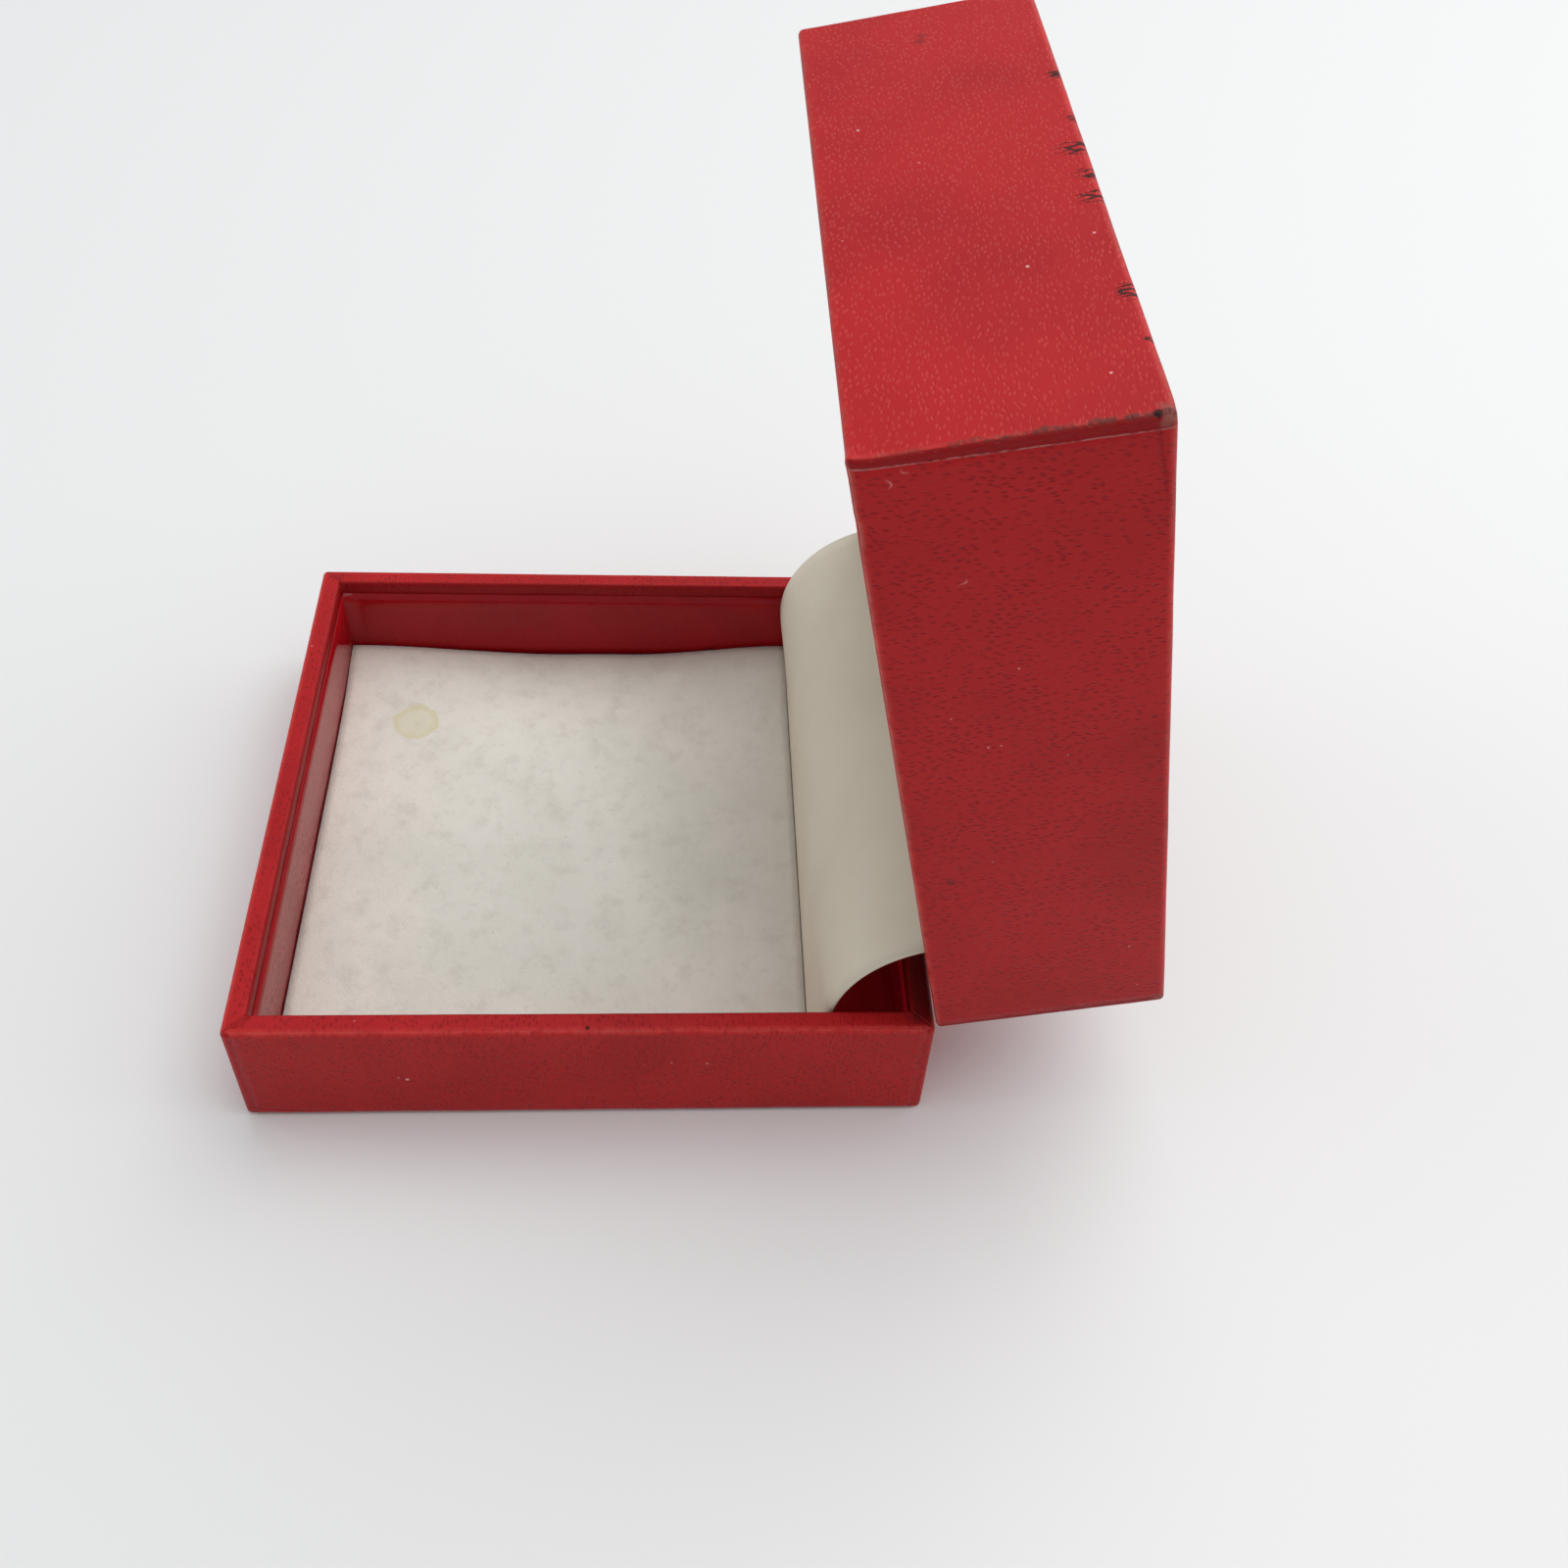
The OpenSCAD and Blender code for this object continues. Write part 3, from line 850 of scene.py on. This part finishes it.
def makeLidPad(look):
    low, high = shutBox("lid_pad_satin")
    low, high = low + Vector((1, 1, 0)) * look["shrink"], high - Vector((1, 1, 0)) * look["shrink"]
    face = low.z + look["most"]         # the padded face looks down when the lid is shut
    bm = bmesh.new()
    bmesh.ops.create_cube(bm, size=1)
    bmesh.ops.scale(bm, vec=(high.x - low.x, high.y - low.y, high.z - face), verts=bm.verts)
    bmesh.ops.translate(bm, vec=(0, (low.y + high.y) / 2, (high.z + face) / 2), verts=bm.verts)
    rounded = [e for e in bm.edges if all(abs(v.co.z - face) < 1e-7 for v in e.verts)]
    bmesh.ops.bevel(bm, geom=rounded, offset=look["edge"], offset_type="OFFSET", segments=3,
                    profile=0.5, affect="EDGES", material=-1)
    for axis in range(2):
        ends = [low[axis] + look["edge"] * 1.1, high[axis] - look["edge"] * 1.1]
        cutAt(bm, axis, ends + steps(ends[0], ends[1], look["cell"]))
    place = bm.verts.layers.float_vector.new("place")
    bm.normal_update()
    for v in bm.verts:
        v[place] = v.co / mm
    held = [v.index for v in bm.verts if v.co.z > high.z - 1e-6]
    inflate(bm, held, look)
    # small pleats where the satin is drawn round its card
    for v in bm.verts:
        fromSides = min(v.co.x - low.x, high.x - v.co.x)
        fromEnds = min(v.co.y - low.y, high.y - v.co.y)
        sideways = fromSides < fromEnds
        fromEdge = min(fromSides, fromEnds)
        along = (v.co.y if sideways else v.co.x) / mm / look["pleatSpacing"]
        inward = fromEdge / mm / look["pleatLength"]
        pleat = noise.noise(Vector((along, inward, 3 if sideways else 7)))
        if v.normal.z < -0.3:
            v.co.z += pleat * look["pleat"] * (1 - smoothStep(fromEdge, 0, look["pleatReach"]))
    pad = finished("lidPad", bm, "lid", satinFinish("satin"), ("lid_pad_satin",), True)
    smooth = pad.modifiers.new("smooth", "SUBSURF")
    smooth.levels = smooth.render_levels = 1


print("making the lid pad")
makeLidPad(satinLook)


# ---- hinge hood ----

hoodLook = {
    "radius": 13.0 * mm, "sweep": radians(84),      # the curve back over the hinge
    "bendZ": 11.5 * mm,                             # height where the curve starts
    "thickness": 0.45 * mm, "foot": 6 * mm,
    "uprightSteps": 6, "bendSteps": 28, "acrossSteps": 36,
    "nearBack": 0.7 * mm, "farForward": 0.8 * mm,   # the card stands slightly askew
    "sway": 0.35 * mm,                              # slight waviness of the card
    "shutClear": 0.5 * mm,                          # room left in front of the lid's shut back wall
}


def makeHood(look):
    low, high = hoodLow, hoodHigh
    front = low.y
    bm = bmesh.new()
    foot = bm.verts.new((low.x, front, low.z))
    last = foot
    for k in range(look["uprightSteps"]):
        made = bmesh.ops.extrude_vert_indiv(bm, verts=[last])
        last = made["verts"][0]
        last.co.z = low.z + (look["bendZ"] - low.z) * (k + 1) / look["uprightSteps"]
    centre = (low.x, front + look["radius"], look["bendZ"])
    bmesh.ops.spin(bm, geom=[last], cent=centre, axis=(1, 0, 0), angle=-look["sweep"],
                   steps=look["bendSteps"])
    flange = bmesh.ops.extrude_vert_indiv(bm, verts=[foot])["verts"][0]
    flange.co.y += look["foot"]
    bmesh.ops.remove_doubles(bm, verts=bm.verts, dist=1e-6)
    across = (high.x - low.x) / look["acrossSteps"]
    rim = bm.edges[:]
    for _ in range(look["acrossSteps"]):
        made = bmesh.ops.extrude_edge_only(bm, edges=rim)["geom"]
        rim = [g for g in made if isinstance(g, bmesh.types.BMEdge)]
        moved = [g for g in made if isinstance(g, bmesh.types.BMVert)]
        bmesh.ops.translate(bm, vec=(across, 0, 0), verts=moved)
    bmesh.ops.recalc_face_normals(bm, faces=bm.faces)
    for v in bm.verts:
        # the card stands a little further back at the near end than at the far one
        near = (v.co.x - low.x) / (high.x - low.x)
        up = smoothStep(v.co.z, low.z + 1 * mm, 12 * mm)
        v.co.y += up * (look["nearBack"] * near - look["farForward"] * (1 - near))
        v.co.y += up * noise.noise(v.co / mm / 16) * look["sway"]
    creamCard = cardFinish("hood_card", colour(0.76, 0.70, 0.56), colour(0.69, 0.63, 0.49), 0.3)
    hood = finished("hingeHood", bm, "tray", creamCard, ("hinge_hood",))
    thicken(hood, look["thickness"])
    # the room left in front of the lid's shut back wall, as a share of the card's reach; the share is worked out
    # and not applied
    reach = max(v.co.y for v in hood.data.vertices) - low.y
    room = insideY - look["shutClear"] - low.y
    min(1, room / reach)
    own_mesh(hood)


print("making the hinge hood")
makeHood(hoodLook)


# ---- finishes of the frame's own pieces ----

print("finishing the boards and the hinge")
board = boardFinish("greyboard")
steel = steelFinish("hinge_steel", colour(0.66, 0.65, 0.61))
springSteel = steelFinish("spring_steel", colour(0.38, 0.39, 0.42), 1, 0.25)
rivetSteel = steelFinish("rivet_steel", colour(0.74, 0.73, 0.70), 0, 0.2)
basePaper = cardFinish("base_paper", colour(0.13, 0.02, 0.02), colour(0.09, 0.015, 0.015))
finishOf = {
    "greyboard": board, "hinge_steel": steel, "spring_steel": springSteel, "rivet_steel": rivetSteel,
    "base_paper": basePaper, "pad_card": plainCard,
}
for part in frame["record"]["subparts"]:
    finish = finishOf.get(part["material_slot"])
    if finish:
        node = frame["nodes"][part["node"]]
        node.data.materials.clear()
        node.data.materials.append(finish)


# ---- camera, floor and light ----

cameraLook = {
    "at": (0.1209, 0.0089, 0.1457), "towards": (-0.0118, 0.0219, 0.0),
    "roll": 4.32, "lens": 37.35, "sensor": 36, "nearest": 0.005,
}
floorLook = {"halfSize": 3.0, "paint": colour(0.80, 0.80, 0.79), "roughness": 0.55}


def makeCamera(look):
    data = bpy.data.cameras.new("camera")
    data.lens = look["lens"]
    data.sensor_width = look["sensor"]
    data.clip_start = look["nearest"]
    camera = bpy.data.objects.new("camera", data)
    bpy.context.scene.collection.objects.link(camera)
    gaze = Vector(look["towards"]) - Vector(look["at"])
    turn = gaze.to_track_quat("-Z", "Y").to_matrix() @ Matrix.Rotation(radians(look["roll"]), 3, "Z")
    camera.matrix_world = Matrix.Translation(Vector(look["at"])) @ turn.to_4x4()
    bpy.context.scene.camera = camera


def makeFloor(look):
    bm = bmesh.new()
    bmesh.ops.create_grid(bm, x_segments=1, y_segments=1, size=look["halfSize"])
    mesh = bpy.data.meshes.new("floor")
    bm.to_mesh(mesh)
    bm.free()
    floor = bpy.data.objects.new("floor", mesh)
    bpy.context.scene.collection.objects.link(floor)
    f = Finish("floor_paint", {"Base Color": look["paint"], "Roughness": look["roughness"]})
    floor.data.materials.append(f.material)


lightLook = {
    "sky": (0.93, 0.96, 1.0), "skyStrength": 0.49,
    "lamps": [
        # name, place, size, power
        ("overhead", (-0.20, 0.38, 0.80), 1.2, 8.2),
        ("front", (-0.15, -0.90, 0.38), 0.6, 1.3),
    ],
}


def makeLights(look):
    world = bpy.data.worlds.new("studio")
    world.use_nodes = True
    background = world.node_tree.nodes["Background"]
    background.inputs["Color"].default_value = colour(*look["sky"])
    background.inputs["Strength"].default_value = look["skyStrength"]
    bpy.context.scene.world = world
    for name, place, size, power in look["lamps"]:
        data = bpy.data.lights.new(name, "AREA")
        data.shape = "SQUARE"
        data.size = size
        data.energy = power
        lamp = bpy.data.objects.new(name, data)
        bpy.context.scene.collection.objects.link(lamp)
        gaze = Vector((0, 0, 0)) - Vector(place)
        turn = gaze.to_track_quat("-Z", "Y").to_matrix().to_4x4()
        lamp.matrix_world = Matrix.Translation(Vector(place)) @ turn


print("setting the studio")
makeCamera(cameraLook)
makeFloor(floorLook)
makeLights(lightLook)
bpy.context.scene.view_settings.view_transform = "Standard"
